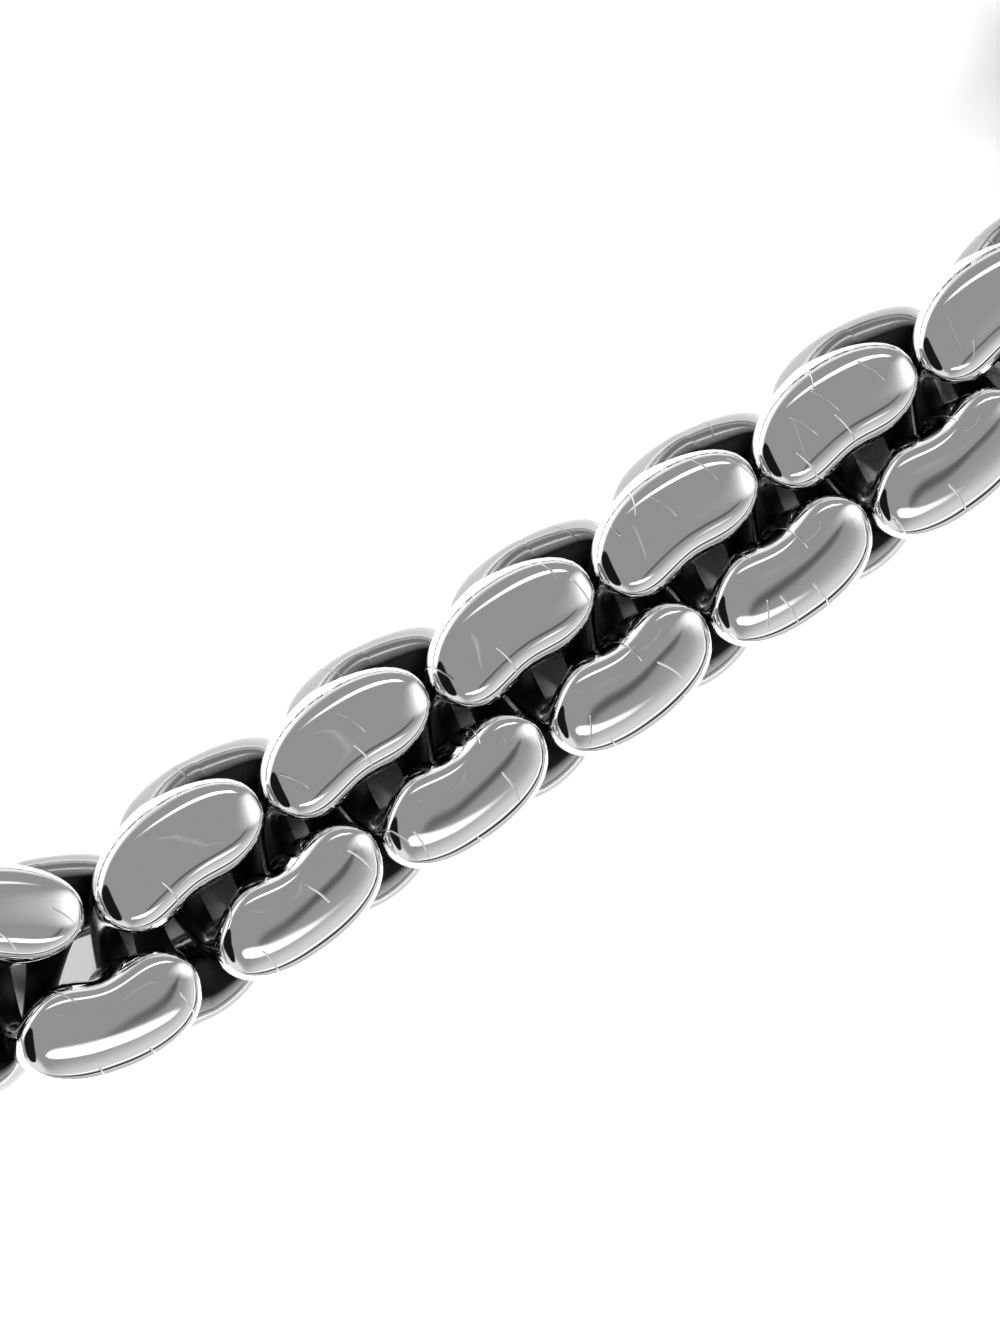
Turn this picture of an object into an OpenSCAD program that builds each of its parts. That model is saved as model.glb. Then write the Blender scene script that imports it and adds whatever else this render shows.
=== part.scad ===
// Bracelet of forty interlocked bean links and one plain clasp, closed and laid flat

/* [Chain] */
// Number of links in the loop
link_count = 40; // [40:1:40]
// Spacing of two neighbouring beans of one row on the straight run
row_pitch = 9.5; // [9.4:0.1:9.8]
// How far the lower row sits back from the middle of the upper row's spacing
row_offset = 0.5; // [0.2:0.1:0.6]
// Forward lean of each link's far side, in mm along the chain per mm across it
lean = 0.113; // [0:0.01:0.15]

/* [Link] */
// Length of a link along the chain
link_length = 9.25; // [9:0.05:9.3]
// Thickness of the chain from its face to its back, before the fall of the beans
chain_height = 6.6; // [6:0.1:7]
// Width of the front bean
bean_width = 4.65; // [4.3:0.05:4.7]
// Distance of the front bean's outer edge from the chain's middle line
bean_edge = 4.9; // [4.8:0.05:5]
// Width of the band at the back of the link
back_width = 3.8; // [3.4:0.1:3.9]
// Distance of the back band's outer edge from the chain's middle line
back_edge = 5; // [4.9:0.05:5.1]
// Width of the narrow ends that cross through the neighbours
end_width = 1.3; // [1:0.1:1.4]
// Thickness of the narrow ends along the chain
end_thickness = 1.6; // [1.4:0.1:1.8]
// Half height of the hole through the link
hole_half_height = 0.9; // [0.8:0.05:1]
// Depth of the hollow in the bean's inner side
kidney_dent = 0.35; // [0.2:0.05:0.4]
// How far the trailing lobe reaches in beyond the leading one, halved
lobe_slant = 0.25; // [0:0.05:0.3]
// How much lower a bean's dome is at its outer edge than at its middle
bean_fall = 0.25; // [0:0.05:0.4]
// Sideways slant of the band at the back, in mm from its middle to each end
back_slant = 0.3; // [0:0.05:0.35]

/* [Loop] */
// Start of the straight run on the near side, from the link that the rows count from
run_start = -20; // [-21:0.5:-19]
// End of the straight run
run_end = 31; // [30:0.5:32]
// Radius of the three bends
bend_radius = 19; // [18.8:0.1:19.2]
// How far the far corner of the loop stands off the two near ones
apex_rise = 8; // [7:0.5:12]
// Place of the far corner along the run
apex_x = -2; // [-6:0.5:6]
// Sideways spread of the two rows in the bends
bend_spread = 0.2; // [0.1:0.05:0.25]
// How far the links beyond the straight run sit back from an even spacing
bend_shift = 0.2; // [0.15:0.05:0.25]

/* [Clasp] */
// Length of the box body
clasp_length = 11; // [10:0.5:12]
// Width of the box body
clasp_width = 9; // [8:0.1:9.4]
// Height of the box body
clasp_height = 5.4; // [5:0.1:6.4]
// Thickness of the two end bails
bail_thickness = 0.85; // [0.8:0.05:1]
// Play between a bail's cross bar and the narrow end that it holds
bail_play = 0.55; // [0.45:0.05:0.7]
// Distance of the bails' long bars from the middle line
bail_side = 3.9; // [3.8:0.05:4.2]
// Distance from the middle of an end link to the box body
clasp_reach = 5; // [4.9:0.05:5.2]

/* [Hidden] */
steel = [0.80, 0.80, 0.81];

// Mesh fineness of a link round its loop
loop_steps = 20;

// The band's section from edge to edge: how far across, and how far out from its flat inner face
band = [[-0.88, 0], [-1, 0.36], [-0.72, 0.86], [0, 1], [0.72, 0.86], [1, 0.36], [0.88, 0]];
band_points = len(band);

// Roundness exponents: the hole, the link's outline, the bands' inner and outer edges, the move across
hole_exp = 3.6;
outline_exp = 6;
inner_exp = 3.2;
outer_exp = 2.6;
cross_exp = 2.0;
dent_reach = 0.42;

// Place of a bean's highest line, as a share of its half width towards its inner edge
crest = 0.35;

half_len = link_length / 2;
half_high = chain_height / 2;
hole_half_len = half_len - end_thickness;
end_half = end_width / 2;

// Where the numbered links stand: the first eleven are the straight run, the rest follow on
run_links = 11;
run_first = -2 * row_pitch;
half_pitch = row_pitch / 2;
clasp_gap = clasp_length + 2 * clasp_reach;

// The loop: two long sides that meet at the apex, all corners rounded
side_a = norm([apex_x - run_end, apex_rise]);
side_b = norm([apex_x - run_start, apex_rise]);
head_a = atan2(apex_rise, apex_x - run_end);
head_b = 360 + atan2(-apex_rise, run_start - apex_x);
arc_mm = PI * bend_radius / 180;
len_run = run_end - run_start;
loop_len = len_run + side_a + side_b + 360 * arc_mm;

// Spacing in the bends shares out what the straight run and the clasp leave
bend_half_pitch = (loop_len - (run_links - 1) * half_pitch - clasp_gap) / (link_count - run_links);

// Middle of the finished loop's outline, which the part's origin stands under
loop_middle = [(run_start + run_end) / 2, bend_radius + apex_rise / 2];

function link_name(i) = str("link_", i < 10 ? "0" : "", i);
function sgnpow(v, e) = sign(v) * pow(abs(v), e);

// Ordered places round the loop: clasp_after is the link just before the clasp
clasp_after = 22;

// Distance of link i along the path, measured from the start of the straight run
function link_at(i) =
    i < run_links ? run_first - run_start + i * half_pitch
        - (i % 2 == 1 ? row_offset : 0)
    : run_first - run_start + (run_links - 1) * half_pitch
        + (i - run_links + 1) * bend_half_pitch
        + (i > clasp_after ? clasp_gap - bend_half_pitch : 0)
        - bend_shift;

// Place and heading at distance s along the path
function path_at(s) =
    let (a1 = head_a * arc_mm, a2 = (head_b - head_a) * arc_mm,
         p1 = [run_end, 0],
         p2 = arc_end(p1, 0, head_a),
         p3 = p2 + side_a * [cos(head_a), sin(head_a)],
         p4 = arc_end(p3, head_a, head_b),
         p5 = p4 + side_b * [cos(head_b), sin(head_b)],
         s1 = len_run, s2 = s1 + a1, s3 = s2 + side_a, s4 = s3 + a2, s5 = s4 + side_b)
    s < s1 ? [run_start + s, 0, 0]
    : s < s2 ? arc_at(p1, 0, s - s1)
    : s < s3 ? concat(p2 + (s - s2) * [cos(head_a), sin(head_a)], head_a)
    : s < s4 ? arc_at(p3, head_a, s - s3)
    : s < s5 ? concat(p4 + (s - s4) * [cos(head_b), sin(head_b)], head_b)
    : arc_at(p5, head_b, s - s5);

function arc_end(p, h0, h1) =
    p + bend_radius * [sin(h1) - sin(h0), cos(h0) - cos(h1)];

function arc_at(p, h0, s) =
    let (h1 = h0 + s / arc_mm) concat(arc_end(p, h0, h1), h1);

// Half width of a superellipse at c along it
function rounded(c, e) = pow(max(0, 1 - pow(abs(c), e)), 1 / e);

// One point of a link: side is 1 for the upper row and -1 for the lower row
function link_point(side, i, j) =
    let (t = 360 * i / loop_steps,
         hole_c = sgnpow(cos(t), 2 / hole_exp),
         hole_s = sgnpow(sin(t), 2 / hole_exp),
         c = sgnpow(cos(t), 2 / outline_exp),
         s = sgnpow(sin(t), 2 / outline_exp),
         front = s > 0,
         across = 1 - pow(1 - abs(s), cross_exp),
         half = (front ? bean_width : back_width) / 2,
         spread = sqrt(half * half - end_half * end_half),
         middle = ((front ? bean_edge : back_edge) - half) * across,
         inner = rounded(c, inner_exp),
         outer = rounded(c, outer_exp),
         dent = front ? kidney_dent * cos(90 * c / dent_reach) * inner : 0,
         row = side * (front ? 1 : -1),
         inner_slant = (front ? lobe_slant : -back_slant) * c * across * inner,
         outer_slant = front ? 0 : -back_slant * c * across * outer,
         inner_y = row * (middle - norm([end_half, spread * inner]) + dent) + inner_slant,
         outer_y = row * (middle + norm([end_half, spread * outer])) + outer_slant,
         low = min(inner_y, outer_y),
         high = max(inner_y, outer_y),
         v = band[j][0],
         f = band[j][1],
         fall = front ? bean_fall * (side * v + crest) : 0,
         y = (low + high) / 2 + (high - low) / 2 * v)
    [hole_half_len * hole_c + (half_len * c - hole_half_len * hole_c) * f + lean * y,
     y,
     hole_half_height * hole_s + ((half_high - fall) * s - hole_half_height * hole_s) * f];

function ring_faces() =
    [for (i = [0 : loop_steps - 1], j = [0 : band_points - 1])
        let (i2 = (i + 1) % loop_steps, j2 = (j + 1) % band_points,
             a = i * band_points + j, b = i2 * band_points + j,
             c = i2 * band_points + j2, d = i * band_points + j2)
        each [[a, b, c], [a, c, d]]];

module link_body(side) {
    polyhedron(
        points = [for (i = [0 : loop_steps - 1], j = [0 : band_points - 1]) link_point(side, i, j)],
        faces = ring_faces(),
        convexity = 8
    );
}

// A piece placed at distance s along the loop, moved sideways by off
module on_path(s, off = 0) {
    place = path_at(s);
    translate([place[0] - loop_middle[0], place[1] - loop_middle[1], half_high])
        rotate([0, 0, place[2]])
            translate([0, off, 0])
                children();
}

// Upper-row links have even numbers, lower-row links odd ones
module link(i) {
    side = i % 2 == 0 ? 1 : -1;
    s = link_at(i);
    in_bend = s < 0 || s > len_run;
    color(steel)
        on_path((s + loop_len) % loop_len, in_bend ? side * bend_spread : 0)
            link_body(side);
}

// One end bail: a square loop that the end link's narrow end passes through
module bail() {
    reach = clasp_reach + 0.6;
    bar = bail_thickness;
    inside = hole_half_len - bail_play - bar;
    side_y = bail_side;
    translate([inside, -side_y - bar / 2, -bar / 2])
        cube([bar, 2 * side_y + bar, bar]);
    for (y = [-side_y, side_y])
        translate([inside, y - bar / 2, -bar / 2])
            cube([reach - inside, bar, bar]);
}

// The clasp body with a bail at each end, in the middle of its gap
module clasp() {
    half_gap = clasp_gap / 2;
    middle_s = link_at(clasp_after) + half_gap;
    color(steel)
        on_path(middle_s) {
            translate([-clasp_length / 2, -clasp_width / 2, -clasp_height / 2])
                cube([clasp_length, clasp_width, clasp_height]);
            translate([-half_gap, 0, 0])
                bail();
            mirror([1, 0, 0])
                translate([-half_gap, 0, 0])
                    bail();
        }
}

clasp();
for (i = [0 : link_count - 1])
    link(i);
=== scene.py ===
"""Polished link bracelet: two rows of interlocked bean links, closed and laid flat on a white table."""
import math
import random

import bpy
from mathutils import Euler, Matrix, Vector


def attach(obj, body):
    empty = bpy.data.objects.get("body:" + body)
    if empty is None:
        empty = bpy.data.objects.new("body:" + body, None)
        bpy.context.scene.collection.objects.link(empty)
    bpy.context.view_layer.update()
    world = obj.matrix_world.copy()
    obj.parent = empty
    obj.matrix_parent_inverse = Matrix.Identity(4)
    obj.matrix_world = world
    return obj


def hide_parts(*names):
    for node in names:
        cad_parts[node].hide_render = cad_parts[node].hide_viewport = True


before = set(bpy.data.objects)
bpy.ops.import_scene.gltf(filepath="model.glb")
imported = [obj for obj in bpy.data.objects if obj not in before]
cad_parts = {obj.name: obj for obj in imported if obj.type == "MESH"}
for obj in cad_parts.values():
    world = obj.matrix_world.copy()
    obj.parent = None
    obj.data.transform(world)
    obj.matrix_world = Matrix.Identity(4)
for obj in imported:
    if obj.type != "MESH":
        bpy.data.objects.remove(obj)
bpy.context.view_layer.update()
scene = bpy.context.scene
MM = 0.001

# The chain, in millimetres: the same driving sizes as the solids
LINK_COUNT = 40
ROW_PITCH = 9.5
ROW_OFFSET = 0.5
LEAN = 0.113
LINK_LENGTH = 9.25
CHAIN_HEIGHT = 6.6
BEAN_WIDTH = 4.65
BEAN_EDGE = 4.9
BACK_WIDTH = 3.8
BACK_EDGE = 5.0
END_WIDTH = 1.3
END_THICKNESS = 1.6
HOLE_HALF_HEIGHT = 0.9
LOBE_SLANT = 0.25
BEAN_FALL = 0.25
CREST = 0.35
BACK_SLANT = 0.3
HOLE_EXP = 3.6
OUTLINE_EXP = 6.0
INNER_EXP = 3.2
OUTER_EXP = 2.6
CROSS_EXP = 2.0
DENT_REACH = 0.42

# The loop that the chain lies in, and the clasp
RUN_START = -20.0
RUN_END = 31.0
BEND_RADIUS = 19.0
APEX_RISE = 8.0
APEX_X = -2.0
BEND_SPREAD = 0.2
BEND_SHIFT = 0.2
RUN_LINKS = 11
CLASP_AFTER = 22
CLASP_LENGTH = 11.0
CLASP_WIDTH = 9.0
CLASP_HEIGHT = 5.4
CLASP_REACH = 5.0
BAIL_THICKNESS = 0.85
BAIL_PLAY = 0.55
BAIL_SIDE = 3.9

# Sizes that follow from those
HALF_LENGTH = LINK_LENGTH / 2
HALF_HEIGHT = CHAIN_HEIGHT / 2
HOLE_HALF_LENGTH = HALF_LENGTH - END_THICKNESS
HALF_PITCH = ROW_PITCH / 2
CLASP_GAP = CLASP_LENGTH + 2 * CLASP_REACH
SIDE_A = math.hypot(APEX_X - RUN_END, APEX_RISE)
SIDE_B = math.hypot(APEX_X - RUN_START, APEX_RISE)
HEAD_A = math.atan2(APEX_RISE, APEX_X - RUN_END)
HEAD_B = 2 * math.pi + math.atan2(-APEX_RISE, RUN_START - APEX_X)
RUN_LENGTH = RUN_END - RUN_START
LOOP_LENGTH = RUN_LENGTH + SIDE_A + SIDE_B + 2 * math.pi * BEND_RADIUS
BEND_HALF_PITCH = (LOOP_LENGTH - (RUN_LINKS - 1) * HALF_PITCH - CLASP_GAP) / (LINK_COUNT - RUN_LINKS)
LOOP_MIDDLE = ((RUN_START + RUN_END) / 2, BEND_RADIUS + APEX_RISE / 2)

# Fineness and section of the dressed links. The hollow in a bean goes by its row, 1 for the upper one
LOOP_STEPS = 128
DOME_POINTS = 25
TUCK_POINTS = 5
DOME_EXP = 2.8
WIDEST = 0.36
FRONT_TUCK = 0.07
BACK_TUCK = 0.5
FACE_EASE = 0.02
FACE_SINK = 0.012
FRONT_OUTLINE_EXP = 8.0
FRONT_DENT = {1: 0.22, -1: 0.32}
BACK_TURN = (0.3, 0.8)
LINK_TILT = 0.5
TILT_SEED = 11

# Fineness of the dressed clasp, and its profiles as pairs: how far along, and how far in the skin is there
CLASP_POINTS = 72
WIRE_POINTS = 20
BEND_POINTS = 8
PILLOW_EXP = 2.8
END_PROFILE = ((0.0, 0.42), (0.04, 0.24), (0.12, 0.12), (0.26, 0.04), (0.45, 0.0))
SEAM_X = 3.4
SEAM_PROFILE = ((-0.22, 0.0), (-0.14, 0.04), (-0.09, 0.22), (0.09, 0.22), (0.14, 0.04), (0.22, 0.0))
BAIL_CORNER = 0.75
BAIL_SINK = 0.4

# How dark the painted shade is in each place, over an even light tarnish on the clasp's body and wires: painted
# shade on the links' narrow ends, flat inner faces, sides that face the other row and back bands, and in the
# clasp's seam and underneath;
# from 0 to 1, and between which values it fades out or in there
BACK_PAINTED_SHADE = 0.48
SIDE_PAINTED_SHADE = 0.8
BODY_GRIME = 0.15
UNDER_PAINTED_SHADE = 0.35
SEAM_PAINTED_SHADE = 0.85
WIRE_GRIME = 0.4
END_FADE = (0.45, 0.72)
ACROSS_FADE = (0.9, 1.0)
OUT_FADE = (0.25, 0.5)
FACE_FADE = (-0.004, 0.03)
UNDER_FADE = (-1.8, 1.2)
SEAM_FADE = (0.1, 0.15)

# The metal: its colours, the dark one painted as shade and as the clasp's tarnish, and the roughness that polish,
# haze, scratches and the tarnish and painted shade give it
CLEAN_COLOUR = (0.86, 0.86, 0.865, 1)
TARNISH_AND_SHADE_COLOUR = (0.02, 0.02, 0.021, 1)
POLISH_ROUGHNESS = 0.015
HAZE_ROUGHNESS = 0.035
SCRATCH_ROUGHNESS = 0.38
TARNISH_AND_SHADE_ROUGHNESS = 0.3

# Noise in the metal, as scale and detail, and its bumps, as strength and depth in metres
WEAR_NOISE = (260.0, 1.0)
HAZE_NOISE = (900.0, 3.0)
HAZE_FADE = (0.35, 0.75)
WEAR_BUMP = (0.35, 0.00006)
SCRATCH_BUMP = (0.7, 0.00002)

# Two kinds of scratch: size of a cell, length, spacing and width in millimetres, turn in radians, shift of the
# cells in metres, and the share of cells that have scratches
SCRATCHES = (
    (2.6, 1.6, 0.45, 0.05, -0.6, 0.0, 0.65),
    (3.7, 1.3, 1.3, 0.045, 0.3, 0.013, 0.3),
)
SCRATCH_TURN_SPREAD = 0.5
SCRATCH_CURVE = 120.0
SCRATCH_END_FADE = (1.0, 0.6)

# The camera: how far it leans back along the chain and over towards the upper row
LEAN_BACK = math.radians(25.0)
LEAN_OVER = math.radians(8.5)
CHAIN_SLOPE = math.radians(33.8)
CAMERA_DISTANCE = 0.60
PIXELS_PER_MM = 22.96
PHOTO_SIZE = (1000, 1333)
ANCHOR_PIXEL = (518.0, 625.5)

# The table and its lights
TABLE_HALF = 3.0
TABLE_COLOUR = (0.93, 0.93, 0.93, 1)
LIGHT_COUNT = 4
LIGHT_ENERGY = 5.2
LIGHT_SPREAD = math.radians(24)
LIGHT_TILT = math.radians(68)

# What the metal mirrors: the ceiling's brightness, and on it soft-edged ellipses, each with its brightness,
# its azimuth, elevation, half width, half height and turn in degrees, and its edge's softness as a share of it
CEILING = 0.33
STUDIO = (
    (0.75, -58, 25, 46, 22, 0, 0.50),
    (0.85, -145, 20, 30, 34, 0, 0.25),
    (1.60, 112, 4, 42, 27, 0, 0.25),
    (1.00, 48, 0, 32, 13, 0, 0.30),
    (0.50, 17, 66, 11, 0.1, -12, 0.60),
    (0.12, -34, 59, 9, 1.6, -10, 0.80),
    (1.80, -66, 60, 13, 4.4, -35, 0.25),
    (0.03, -60, 20, 60, 3.2, 0, 0.40),
    (1.30, -60, 27, 55, 1.8, 0, 0.50),
    (1.80, 43, 43, 14, 3.2, 9, 0.30),
    (1.20, -5, 32, 14, 24, 0, 0.35),
    (0.010, 170, 47, 33, 27, 0, 0.06),
)
HORIZON_FADE = (0.05, -0.05)
FACING_FADE = (0.0, 0.1)


def signed_power(value, exponent):
    return math.copysign(abs(value) ** exponent, value)


def rounded(c, exponent):
    """Half width of a superellipse of that exponent at c along it."""
    return max(0.0, 1 - abs(c) ** exponent) ** (1 / exponent)


def smooth_step(value, start, end):
    t = min(1.0, max(0.0, (value - start) / (end - start)))
    return t * t * (3 - 2 * t)


def band_section(tuck):
    """The band's section as pairs: across from -1 to 1, and out from 0 to 1. tuck is how far it goes in
    underneath the dome's widest line."""
    dome, under = [], []
    for i in range(DOME_POINTS):
        a = math.pi * i / (DOME_POINTS - 1)
        rise = signed_power(round(math.sin(a), 9), 2 / DOME_EXP)
        dome.append((-signed_power(math.cos(a), 2 / DOME_EXP), WIDEST + (1 - WIDEST) * rise))
    for i in range(1, TUCK_POINTS + 1):
        b = math.pi / 2 * i / TUCK_POINTS
        under.append((1 - tuck * (1 - math.cos(b)), WIDEST * (1 - math.sin(b))))
    edge = under[-1][0]
    under += [(edge - FACE_EASE, -FACE_SINK * 2 / 3), (edge - 3 * FACE_EASE, -FACE_SINK),
              (edge / 2, -FACE_SINK), (0.0, -FACE_SINK)]
    return dome + under + [(-v, f) for v, f in under[-2::-1]]


FRONT_SECTION = band_section(FRONT_TUCK)
BACK_SECTION = band_section(BACK_TUCK)


def link_ring(side, i):
    """Points of one section of a link, each with how much painted shade darkens it there. side is 1 for the upper
    row, -1 for the lower one."""
    angle = 2 * math.pi * i / LOOP_STEPS
    cos_a, sin_a = round(math.cos(angle), 9), round(math.sin(angle), 9)
    front = sin_a > 0
    outline_exp = FRONT_OUTLINE_EXP if front else OUTLINE_EXP
    reach = (abs(cos_a) ** outline_exp + abs(sin_a) ** outline_exp) ** (-1 / outline_exp)
    c, s = cos_a * reach, sin_a * reach
    hole_c, hole_s = signed_power(c, outline_exp / HOLE_EXP), signed_power(s, outline_exp / HOLE_EXP)

    across = 1 - (1 - abs(s)) ** CROSS_EXP
    half = (BEAN_WIDTH if front else BACK_WIDTH) / 2
    spread = math.sqrt(half ** 2 - (END_WIDTH / 2) ** 2)
    middle = ((BEAN_EDGE if front else BACK_EDGE) - half) * across
    inner, outer = rounded(c, INNER_EXP), rounded(c, OUTER_EXP)
    dent = FRONT_DENT[side] * math.cos(math.pi / 2 * c / DENT_REACH) * inner if front else 0.0
    row = side * (1 if front else -1)
    inner_slant, outer_slant = (LOBE_SLANT, 0.0) if front else (-BACK_SLANT, -BACK_SLANT)
    inner_y = row * (middle - math.hypot(END_WIDTH / 2, spread * inner) + dent)
    inner_y += inner_slant * c * across * inner
    outer_y = row * (middle + math.hypot(END_WIDTH / 2, spread * outer))
    outer_y += outer_slant * c * across * outer
    low, high = min(inner_y, outer_y), max(inner_y, outer_y)

    # Painted shade: darker at the narrow ends that pass through the other links, on the flat inner faces, on the
    # sides that face the other row and on the back bands, where the chain's inside lies in shade.
    end_painted_shade = 1 - smooth_step(abs(s), *END_FADE)
    back = 0.0 if front else smooth_step(abs(s), *BACK_TURN)
    points, tarnish_and_painted_shade = [], []
    for (v, f), (back_v, back_f) in zip(FRONT_SECTION, BACK_SECTION):
        v, f = v + (back_v - v) * back, f + (back_f - f) * back
        side_painted_shade = smooth_step(-row * v, *ACROSS_FADE) * (1 - smooth_step(f, *OUT_FADE))
        face_painted_shade = 1 - smooth_step(f, *FACE_FADE)
        tarnish_and_painted_shade.append(max(end_painted_shade, face_painted_shade, SIDE_PAINTED_SHADE * side_painted_shade, BACK_PAINTED_SHADE * back))
        y = (low + high) / 2 + (high - low) / 2 * v
        x = HOLE_HALF_LENGTH * hole_c + (HALF_LENGTH * c - HOLE_HALF_LENGTH * hole_c) * f + LEAN * y
        fall = BEAN_FALL * (side * v + CREST) if front else 0.0
        z = HOLE_HALF_HEIGHT * hole_s + ((HALF_HEIGHT - fall) * s - HOLE_HALF_HEIGHT * hole_s) * f
        points.append((x * MM, y * MM, z * MM))
    return points, tarnish_and_painted_shade


def skin(name, verts, faces, tarnish_and_painted_shade):
    """A mesh of that skin, smooth but for faces with other than four corners, with its tarnish and painted shade
    point by point.
    """
    mesh = bpy.data.meshes.new(name)
    mesh.from_pydata(verts, [], faces)
    for face in mesh.polygons:
        face.use_smooth = len(face.vertices) == 4
    mesh.attributes.new("tarnish_and_painted_shade", "FLOAT", "POINT").data.foreach_set("value", tarnish_and_painted_shade)
    mesh.update()
    return mesh


def link_mesh(name, side):
    rings = [link_ring(side, i) for i in range(LOOP_STEPS)]
    count = len(FRONT_SECTION)
    faces = []
    for i in range(LOOP_STEPS):
        k = (i + 1) % LOOP_STEPS
        for j in range(count):
            m = (j + 1) % count
            faces.append((i * count + m, k * count + m, k * count + j, i * count + j))
    return skin(name, [p for points, _ in rings for p in points], faces, [g for _, tarnish_and_painted_shade in rings for g in tarnish_and_painted_shade])


def arc_end(point, head_0, head_1):
    return (point[0] + BEND_RADIUS * (math.sin(head_1) - math.sin(head_0)),
            point[1] + BEND_RADIUS * (math.cos(head_0) - math.cos(head_1)))


def straight_end(point, head, length):
    return point[0] + length * math.cos(head), point[1] + length * math.sin(head)


def path_at(s):
    """Place and heading at distance s along the loop."""
    point, head = (RUN_START, 0.0), 0.0
    legs = [(RUN_LENGTH, 0.0), (BEND_RADIUS * HEAD_A, HEAD_A), (SIDE_A, HEAD_A),
            (BEND_RADIUS * (HEAD_B - HEAD_A), HEAD_B), (SIDE_B, HEAD_B),
            (BEND_RADIUS * (2 * math.pi - HEAD_B), 2 * math.pi)]
    for length, head_after in legs:
        step = min(s, length)
        if head_after == head:
            point = straight_end(point, head, step)
        else:
            turned = head + step / BEND_RADIUS
            point = arc_end(point, head, turned)
            head = turned
        s -= step
        if s <= 0:
            break
    return point, head


def link_at(i):
    """Distance of link i along the loop."""
    start = -2 * ROW_PITCH - RUN_START
    if i < RUN_LINKS:
        return start + i * HALF_PITCH - (ROW_OFFSET if i % 2 else 0)
    distance = start + (RUN_LINKS - 1) * HALF_PITCH + (i - RUN_LINKS + 1) * BEND_HALF_PITCH
    return distance + (CLASP_GAP - BEND_HALF_PITCH if i > CLASP_AFTER else 0) - BEND_SHIFT


def placement(s, sideways=0.0):
    """The matrix of a piece at distance s along the loop."""
    (x, y), head = path_at(s % LOOP_LENGTH)
    place = Matrix.Translation(Vector((x - LOOP_MIDDLE[0], y - LOOP_MIDDLE[1], HALF_HEIGHT)) * MM)
    return place @ Matrix.Rotation(head, 4, "Z") @ Matrix.Translation((0, sideways * MM, 0))


def add_node(tree, kind, inputs=None, **settings):
    """A node with those settings. inputs gives its sockets, by name or place, numbers or other nodes' outputs."""
    node = tree.nodes.new(kind)
    for name, value in settings.items():
        setattr(node, name, value)
    for name, value in (inputs or {}).items():
        if isinstance(value, bpy.types.NodeSocket):
            tree.links.new(value, node.inputs[name])
        else:
            node.inputs[name].default_value = value
    return node


def calc(tree, operation, *values):
    return add_node(tree, "ShaderNodeMath", dict(enumerate(values)), operation=operation).outputs[0]


def square(tree, value):
    return calc(tree, "POWER", value, 2.0)


def dot(tree, vector, direction):
    inputs = {0: vector, 1: tuple(direction.normalized())}
    return add_node(tree, "ShaderNodeVectorMath", inputs, operation="DOT_PRODUCT").outputs["Value"]


def ramp_between(tree, value, start, end):
    """0 before start, 1 after end, smooth between."""
    inputs = {0: value, 1: start, 2: end, 3: 0.0, 4: 1.0}
    return add_node(tree, "ShaderNodeMapRange", inputs, interpolation_type="SMOOTHSTEP").outputs["Result"]


def noise(tree, place, scale, detail):
    inputs = {"Vector": place, "Scale": scale, "Detail": detail}
    return add_node(tree, "ShaderNodeTexNoise", inputs).outputs["Fac"]


def scratches(tree, place, cell, length, spacing, width, turn, shift, share):
    """Groups of parallel hairlines, one group to a cell: 1 on a hairline, 0 elsewhere."""
    moved = add_node(tree, "ShaderNodeMapping", {"Vector": place, "Location": (shift, shift * 0.7, 0)}).outputs[0]
    cells = add_node(tree, "ShaderNodeTexVoronoi", {"Scale": 1 / (cell * MM), "Vector": moved},
                     voronoi_dimensions="2D")
    away = add_node(tree, "ShaderNodeVectorMath", {0: moved, 1: cells.outputs["Position"]}, operation="SUBTRACT")
    draws = add_node(tree, "ShaderNodeSeparateColor", {0: cells.outputs["Color"]})
    angle = calc(tree, "MULTIPLY_ADD", draws.outputs[1], SCRATCH_TURN_SPREAD, turn)
    turned = add_node(tree, "ShaderNodeVectorRotate", {"Vector": away.outputs[0], "Angle": angle},
                      rotation_type="Z_AXIS")
    split = add_node(tree, "ShaderNodeSeparateXYZ", {0: turned.outputs[0]})
    x, y = split.outputs["X"], split.outputs["Y"]
    x = calc(tree, "ADD", x, calc(tree, "MULTIPLY", square(tree, y), SCRATCH_CURVE))
    line = ramp_between(tree, calc(tree, "PINGPONG", x, spacing / 2 * MM), width * MM, 0.0)
    away_across = square(tree, calc(tree, "DIVIDE", x, 0.8 * spacing * MM))
    away_along = square(tree, calc(tree, "DIVIDE", y, length / 2 * MM))
    ends = ramp_between(tree, calc(tree, "ADD", away_across, away_along), *SCRATCH_END_FADE)
    line = calc(tree, "MULTIPLY", line, ends)
    return calc(tree, "MULTIPLY", line, calc(tree, "LESS_THAN", draws.outputs[0], share))


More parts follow.
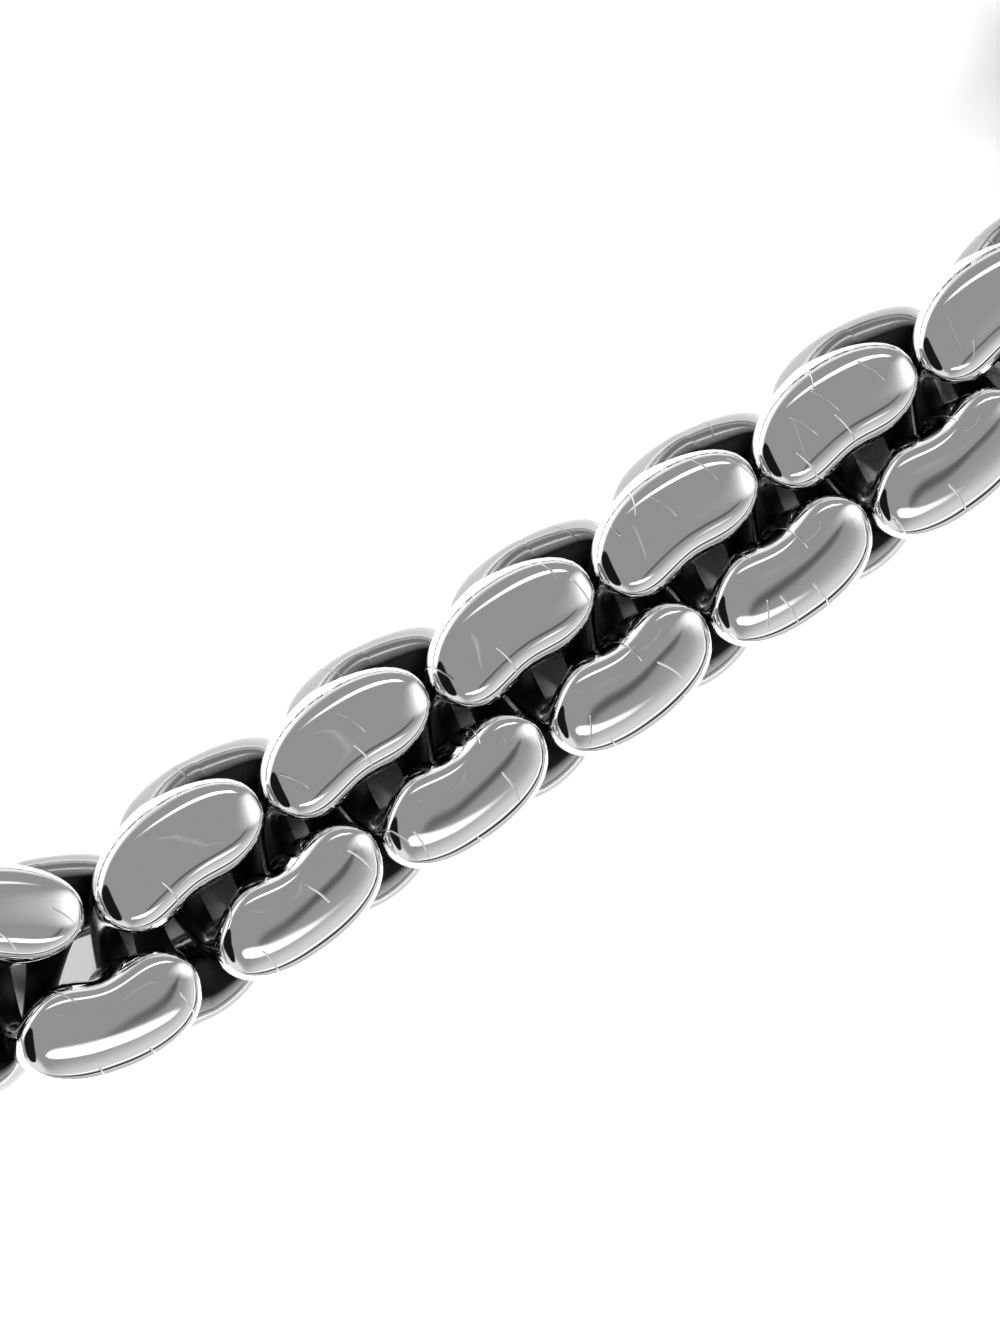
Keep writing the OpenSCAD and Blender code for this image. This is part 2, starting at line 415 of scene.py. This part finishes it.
def polished_metal():
    """Mirror-polished metal with a faint haze, hairline scratches and an uneven surface from wear. Its colour and
    roughness are darkened where the chain's inside and the clasp's seam and underside lie in shade (painted
    shade), and evenly on the clasp's body and wires (tarnish).
    """
    material = bpy.data.materials.new("polished_metal")
    material.use_nodes = True
    tree = material.node_tree
    shader = tree.nodes["Principled BSDF"]
    shader.inputs["Metallic"].default_value = 1.0
    # The attribute darkens the colour: painted shade in the chain's inside and the clasp's seam and underside,
    # and an even tarnish on the clasp.
    tarnish_and_painted_shade = add_node(tree, "ShaderNodeAttribute", attribute_name="tarnish_and_painted_shade").outputs["Fac"]
    colour = add_node(tree, "ShaderNodeMix", {0: tarnish_and_painted_shade, 6: CLEAN_COLOUR, 7: TARNISH_AND_SHADE_COLOUR}, data_type="RGBA")
    tree.links.new(colour.outputs[2], shader.inputs["Base Color"])

    place = add_node(tree, "ShaderNodeNewGeometry").outputs["Position"]
    marks = calc(tree, "MAXIMUM", *[scratches(tree, place, *kind) for kind in SCRATCHES])
    haze = ramp_between(tree, noise(tree, place, *HAZE_NOISE), *HAZE_FADE)
    rough = calc(tree, "MULTIPLY_ADD", haze, HAZE_ROUGHNESS, POLISH_ROUGHNESS)
    rough = calc(tree, "MULTIPLY_ADD", marks, SCRATCH_ROUGHNESS, rough)
    rough = calc(tree, "MULTIPLY_ADD", tarnish_and_painted_shade, TARNISH_AND_SHADE_ROUGHNESS, rough)
    tree.links.new(rough, shader.inputs["Roughness"])

    wear = add_node(tree, "ShaderNodeBump", {"Height": noise(tree, place, *WEAR_NOISE), "Strength": WEAR_BUMP[0],
                                             "Distance": WEAR_BUMP[1]})
    cut = add_node(tree, "ShaderNodeBump", {"Height": marks, "Strength": SCRATCH_BUMP[0],
                                            "Distance": SCRATCH_BUMP[1], "Normal": wear.outputs[0]}, invert=True)
    tree.links.new(cut.outputs[0], shader.inputs["Normal"])
    return material


def table_surface():
    material = bpy.data.materials.new("table")
    material.use_nodes = True
    shader = material.node_tree.nodes["Principled BSDF"]
    shader.inputs["Base Color"].default_value = TABLE_COLOUR
    shader.inputs["Roughness"].default_value = 0.9
    shader.inputs["Specular IOR Level"].default_value = 0.1
    return material


def make_camera():
    """A long lens that looks at the straight run, leaning as the photograph does."""
    toward = Vector((-math.tan(LEAN_BACK), math.tan(LEAN_OVER), 1)).normalized()
    chain = Vector((1, 0, 0))
    along = (chain - chain.dot(toward) * toward).normalized()
    above = toward.cross(along)
    right = along * math.cos(CHAIN_SLOPE) - above * math.sin(CHAIN_SLOPE)
    up = along * math.sin(CHAIN_SLOPE) + above * math.cos(CHAIN_SLOPE)
    bean_y = BEAN_EDGE - BEAN_WIDTH / 2
    anchor = Vector((LEAN * bean_y - LOOP_MIDDLE[0], bean_y - LOOP_MIDDLE[1], CHAIN_HEIGHT)) * MM
    offset_x = (ANCHOR_PIXEL[0] - PHOTO_SIZE[0] / 2) / PIXELS_PER_MM * MM
    offset_y = (PHOTO_SIZE[1] / 2 - ANCHOR_PIXEL[1]) / PIXELS_PER_MM * MM
    centre = anchor - right * offset_x - up * offset_y
    data = bpy.data.cameras.new("camera")
    data.sensor_width = 36.0
    data.lens = data.sensor_width * CAMERA_DISTANCE / (PHOTO_SIZE[1] / PIXELS_PER_MM * MM)
    data.clip_start = 0.01
    data.clip_end = 20.0
    camera = bpy.data.objects.new("camera", data)
    turn = Matrix((right, up, toward)).transposed().to_4x4()
    camera.matrix_world = Matrix.Translation(centre + toward * CAMERA_DISTANCE) @ turn
    scene.collection.objects.link(camera)
    scene.camera = camera


def patch(tree, direction, azimuth, elevation, half_width, half_height, turn, soft):
    """1 inside an ellipse in that direction of the surroundings, 0 outside."""
    azimuth, elevation, turn = math.radians(azimuth), math.radians(elevation), math.radians(turn)
    out = Vector((math.cos(azimuth) * math.cos(elevation), math.sin(azimuth) * math.cos(elevation),
                  math.sin(elevation)))
    level = Vector((-math.sin(azimuth), math.cos(azimuth), 0))
    across = level * math.cos(turn) + out.cross(level) * math.sin(turn)
    squares = 0.0
    for axis, half in ((across, half_width), (out.cross(across), half_height)):
        share = calc(tree, "DIVIDE", dot(tree, direction, axis), math.sin(math.radians(half)))
        squares = calc(tree, "MULTIPLY_ADD", share, share, squares)
    inside = ramp_between(tree, calc(tree, "SQRT", squares), 1 + soft, 1 - soft)
    return calc(tree, "MULTIPLY", inside, ramp_between(tree, dot(tree, direction, out), *FACING_FADE))


def make_world():
    """Studio surroundings by direction: a grey ceiling, lighter low down, strip lights and dark gaps. The camera
    sees them white, and they add nothing to the light on the table."""
    world = bpy.data.worlds.new("studio")
    scene.world = world
    world.use_nodes = True
    tree = world.node_tree
    direction = add_node(tree, "ShaderNodeTexCoord").outputs["Generated"]
    height = add_node(tree, "ShaderNodeSeparateXYZ", {0: direction}).outputs["Z"]
    ray = add_node(tree, "ShaderNodeLightPath").outputs

    def mix(value, other, factor):
        step = other - value if isinstance(value, float) else calc(tree, "SUBTRACT", other, value)
        return calc(tree, "MULTIPLY_ADD", factor, step, value)

    glow = CEILING
    for brightness, *shape in STUDIO:
        glow = mix(glow, brightness, patch(tree, direction, *shape))
    glow = mix(glow, 1.0, ramp_between(tree, height, *HORIZON_FADE))
    glow = mix(glow, 1.0, ray["Is Camera Ray"])
    glow = mix(glow, 0.0, ray["Is Diffuse Ray"])
    tree.links.new(glow, tree.nodes["Background"].inputs["Color"])


def make_lights():
    """Broad soft lights from low on every side, which brighten the table and leave the chain's inside dark."""
    for k in range(LIGHT_COUNT):
        data = bpy.data.lights.new(f"soft_light_{k}", "SUN")
        data.energy = LIGHT_ENERGY
        data.angle = LIGHT_SPREAD
        lamp = bpy.data.objects.new(f"soft_light_{k}", data)
        lamp.rotation_euler = (LIGHT_TILT, 0, 2 * math.pi * (k + 0.5) / LIGHT_COUNT)
        lamp.visible_glossy = False
        scene.collection.objects.link(lamp)


def make_table():
    mesh = bpy.data.meshes.new("table")
    corners = [(x * TABLE_HALF, y * TABLE_HALF, 0) for x, y in ((-1, -1), (1, -1), (1, 1), (-1, 1))]
    mesh.from_pydata(corners, [], [(0, 1, 2, 3)])
    table = bpy.data.objects.new("table", mesh)
    table.data.materials.append(table_surface())
    scene.collection.objects.link(table)


def dress(piece, node):
    """Puts a piece in place of its CAD node."""
    scene.collection.objects.link(piece)
    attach(piece, "root")
    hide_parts(node)


def make_links(metal):
    """Every link sits a fraction of a degree off true, as worn links do, so each mirrors the room a little
    apart. None sinks into the table."""
    meshes = {1: link_mesh("upper_link", 1), -1: link_mesh("lower_link", -1)}
    for mesh in meshes.values():
        mesh.materials.append(metal)
    tilt = random.Random(TILT_SEED)
    for i in range(LINK_COUNT):
        side = -1 if i % 2 else 1
        s = link_at(i)
        in_bend = s > RUN_LENGTH
        node = f"link_{i:02d}"
        link = bpy.data.objects.new(f"dressed_{node}", meshes[side])
        turns = [math.radians(tilt.uniform(-LINK_TILT, LINK_TILT)) for _ in range(3)]
        place = placement(s, side * BEND_SPREAD if in_bend else 0.0) @ Euler(turns).to_matrix().to_4x4()
        lowest = min((place @ vert.co).z for vert in link.data.vertices)
        link.matrix_world = Matrix.Translation((0, 0, max(0.0, -lowest))) @ place
        dress(link, node)


def add_rings(verts, faces, rings):
    """Joins equal rings of points into a skin with flat ends."""
    base, count = len(verts), len(rings[0])
    for ring in rings:
        verts += [tuple(value * MM for value in point) for point in ring]
    for i in range(len(rings) - 1):
        for j in range(count):
            k = (j + 1) % count
            low, high = base + i * count, base + (i + 1) * count
            faces.append((low + j, low + k, high + k, high + j))
    last = base + (len(rings) - 1) * count
    faces.append(tuple(base + j for j in reversed(range(count))))
    faces.append(tuple(last + j for j in range(count)))


def clasp_body():
    """Rings of the clasp's pillow-shaped box: its ends are rounded over, with a seam round it near one end."""
    end = CLASP_LENGTH / 2
    first_end = [(distance - end, inset) for distance, inset in END_PROFILE]
    plain = [(end * k / 4, 0.0) for k in range(-3, 2)]
    seam = [(SEAM_X + distance, inset) for distance, inset in SEAM_PROFILE]
    last_end = [(-x, inset) for x, inset in reversed(first_end)]
    rings = []
    for x, inset in first_end + plain + seam + last_end:
        ring = []
        for j in range(CLASP_POINTS):
            a = 2 * math.pi * j / CLASP_POINTS
            reach = (abs(math.cos(a)) ** PILLOW_EXP + abs(math.sin(a)) ** PILLOW_EXP) ** (-1 / PILLOW_EXP)
            ring.append((x, (CLASP_WIDTH / 2 - inset) * math.cos(a) * reach,
                         (CLASP_HEIGHT / 2 - inset) * math.sin(a) * reach))
        rings.append(ring)
    return rings


def clasp_tarnish_and_shade(x, z):
    """How dark the clasp's body is there: an even light tarnish, with painted shade in its seam and underneath,
    darker below than on top.
    """
    seam = 1 - smooth_step(abs(x - SEAM_X), *SEAM_FADE)
    under = 1 - smooth_step(z, *UNDER_FADE)
    return max(BODY_GRIME + UNDER_PAINTED_SHADE * under, SEAM_PAINTED_SHADE * seam)


def bail_rings(end):
    """Rings of the round wire of one bail, from the body round the end link's narrow end and back."""
    radius = BAIL_THICKNESS / 2
    bar_x = CLASP_GAP / 2 - (HOLE_HALF_LENGTH - BAIL_PLAY - radius)
    root_x = CLASP_LENGTH / 2 - BAIL_SINK
    turns = [((root_x, -BAIL_SIDE), (0, -1))]
    for corner, first in ((-1, -math.pi / 2), (1, 0.0)):
        for k in range(BEND_POINTS + 1):
            a = first + math.pi / 2 * k / BEND_POINTS
            out = (math.cos(a), math.sin(a))
            middle = (bar_x - BAIL_CORNER, corner * (BAIL_SIDE - BAIL_CORNER))
            turns.append(((middle[0] + BAIL_CORNER * out[0], middle[1] + BAIL_CORNER * out[1]), out))
    turns.append(((root_x, BAIL_SIDE), (0, 1)))
    rings = []
    for (x, y), (out_x, out_y) in turns:
        ring = []
        for j in range(WIRE_POINTS):
            a = 2 * math.pi * j / WIRE_POINTS
            side = radius * math.cos(a)
            ring.append((end * (x + out_x * side), y + out_y * side, end * radius * math.sin(a)))
        rings.append(ring)
    return rings


def make_clasp(metal):
    verts, faces = [], []
    add_rings(verts, faces, clasp_body())
    tarnish_and_painted_shade = [clasp_tarnish_and_shade(x / MM, z / MM) for x, _, z in verts]
    for end in (-1, 1):
        add_rings(verts, faces, bail_rings(end))
    tarnish_and_painted_shade += [WIRE_GRIME] * (len(verts) - len(tarnish_and_painted_shade))
    mesh = skin("clasp", verts, faces, tarnish_and_painted_shade)
    mesh.materials.append(metal)
    clasp = bpy.data.objects.new("dressed_clasp", mesh)
    clasp.matrix_world = placement(link_at(CLASP_AFTER) + CLASP_GAP / 2)
    dress(clasp, "clasp")


def main():
    scene.view_settings.view_transform = "Standard"
    make_camera()
    make_world()
    make_lights()
    make_table()
    metal = polished_metal()
    make_links(metal)
    make_clasp(metal)


main()
